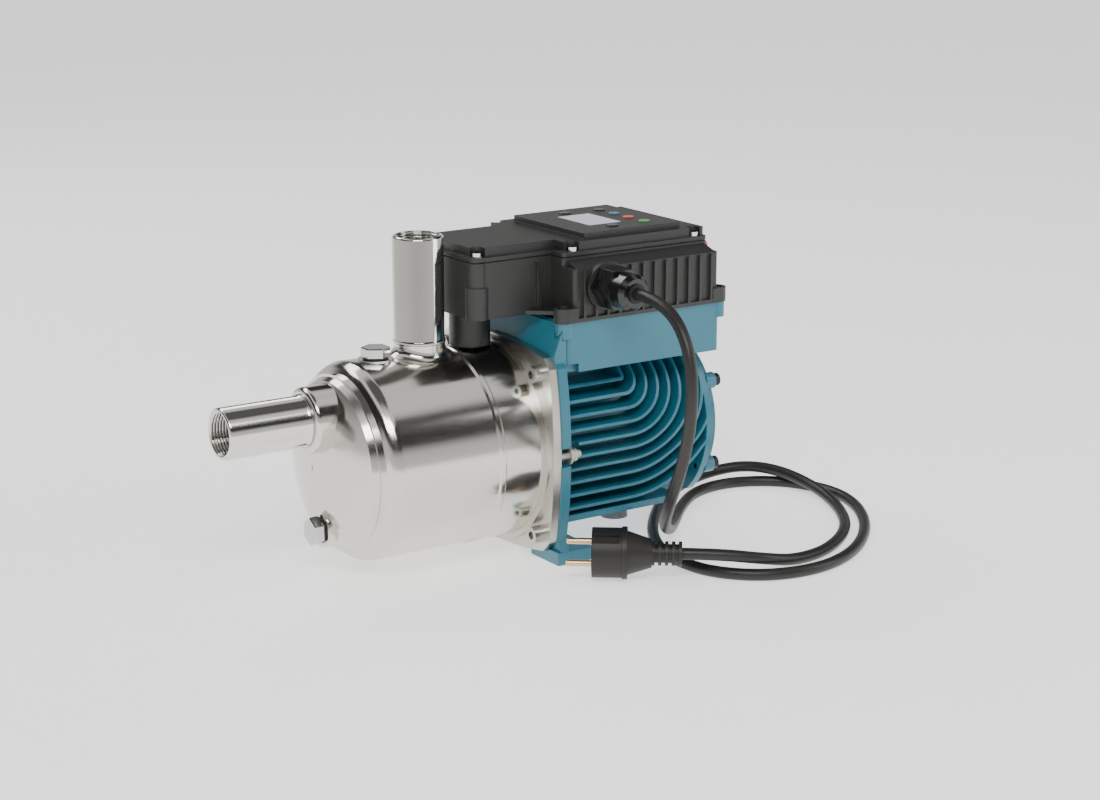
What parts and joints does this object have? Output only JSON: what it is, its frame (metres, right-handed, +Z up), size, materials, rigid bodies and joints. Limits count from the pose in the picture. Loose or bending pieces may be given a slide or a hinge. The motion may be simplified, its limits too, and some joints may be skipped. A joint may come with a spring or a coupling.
{
  "type": "multistage booster pump",
  "caption": "Horizontal multistage stainless booster pump with integral electronic speed drive, two threaded pipe ports, motor feet, mains lead and plug.",
  "frame": {"origin": "on the floor, midway between the fixing slots of the two feet of the motor bracket, under the shaft", "axes": "+X along the shaft from the pump end towards the motor end, +Z up along the discharge pipe, +Y to the right when looking from the motor towards the pump"},
  "size_m": [0.5247, 0.2876, 0.2458],
  "materials": {
    "stainless": "satin, pressed and drawn",
    "bright_steel": "bright",
    "blue_paint": "satin powder coat",
    "black_plastic": "fine texture",
    "black_gloss": "glossy",
    "screen": "window over the display",
    "rubber": "smooth",
    "grey_plastic": "satin",
    "red": "glossy",
    "green": "glossy",
    "blue": "glossy",
    "brass": "turned",
    "zinc": "zinc plated",
    "copper": "enamelled winding",
    "iron": "stacked sheets",
    "board": "coated circuit board",
    "ceramic": "lapped"
  },
  "bodies": {
    "pump_body": {"capacitors": "black_gloss", "casing_flange": "stainless", "casing_screws": "zinc", "casing_seal": "rubber", "casing_shell": "stainless", "control_board": "board", "discharge_pipe": "stainless", "display_window": "screen", "drain_plug_seal": "rubber", "drive_housing": "black_plastic", "drive_lid": "black_plastic", "filling_plug_seal": "rubber", "flow_sensor": "grey_plastic", "front_bearing_balls": "bright_steel", "front_bearing_outer": "bright_steel", "gland_body": "black_gloss", "gland_nut": "black_gloss", "gland_seal": "rubber", "housing_screws": "zinc", "lid_gasket": "rubber", "lid_screws": "zinc", "motor_bracket": "blue_paint", "motor_frame": "blue_paint", "plug_body": "rubber", "plug_pins": "brass", "power_board": "board", "power_cord": "rubber", "rear_bearing_balls": "bright_steel", "rear_bearing_outer": "bright_steel", "rear_shield": "blue_paint", "rear_support": "grey_plastic", "seal_plate": "stainless", "seal_seat": "ceramic", "shield_screws": "zinc", "side_studs": "grey_plastic", "stage_casing_1": "stainless", "stage_casing_2": "stainless", "stage_casing_3": "stainless", "stage_spacer": "stainless", "stator_core": "iron", "stator_winding": "copper", "status_lamp": "red", "suction_pipe": "stainless"},
    "rotor": {"impeller_1": "stainless", "impeller_2": "stainless", "impeller_3": "stainless", "impeller_nut": "bright_steel", "shaft": "bright_steel", "rotor_core": "iron", "seal_head": "bright_steel", "front_bearing_inner": "bright_steel", "rear_bearing_inner": "bright_steel"},
    "button_minus": {"button_minus": "black_gloss"},
    "button_mode": {"button_mode": "blue"},
    "button_plus": {"button_plus": "black_gloss"},
    "button_set": {"button_set": "black_gloss"},
    "button_start": {"button_start": "green"},
    "button_stop": {"button_stop": "red"},
    "filling_plug": {"filling_plug": "bright_steel"},
    "drain_plug": {"drain_plug": "bright_steel"}
  },
  "joints": [
    {"name": "rotor_spin", "type": "hinge", "parent": "pump_body", "child": "rotor", "pos_m": [0, 0, 0.083], "axis": [1, 0, 0], "continuous": true},
    {"name": "button_minus_press", "type": "slide", "parent": "pump_body", "child": "button_minus", "axis": [0, 0, -1], "range_m": [0, 0.0008], "stiffness_N_per_m": 800, "springref_m": -0.0005},
    {"name": "button_mode_press", "type": "slide", "parent": "pump_body", "child": "button_mode", "axis": [0, 0, -1], "range_m": [0, 0.0008], "stiffness_N_per_m": 800, "springref_m": -0.0005},
    {"name": "button_plus_press", "type": "slide", "parent": "pump_body", "child": "button_plus", "axis": [0, 0, -1], "range_m": [0, 0.0008], "stiffness_N_per_m": 800, "springref_m": -0.0005},
    {"name": "button_set_press", "type": "slide", "parent": "pump_body", "child": "button_set", "axis": [0, 0, -1], "range_m": [0, 0.0008], "stiffness_N_per_m": 800, "springref_m": -0.0005},
    {"name": "button_start_press", "type": "slide", "parent": "pump_body", "child": "button_start", "axis": [0, 0, -1], "range_m": [0, 0.0008], "stiffness_N_per_m": 800, "springref_m": -0.0005},
    {"name": "button_stop_press", "type": "slide", "parent": "pump_body", "child": "button_stop", "axis": [0, 0, -1], "range_m": [0, 0.0008], "stiffness_N_per_m": 800, "springref_m": -0.0005},
    {"name": "filling_plug_out", "type": "slide", "parent": "pump_body", "child": "filling_plug", "axis": [0, 0, 1], "range_m": [0, 0.012]},
    {"name": "drain_plug_out", "type": "slide", "parent": "pump_body", "child": "drain_plug", "axis": [-1, 0, 0], "range_m": [0, 0.012]}
  ]
}
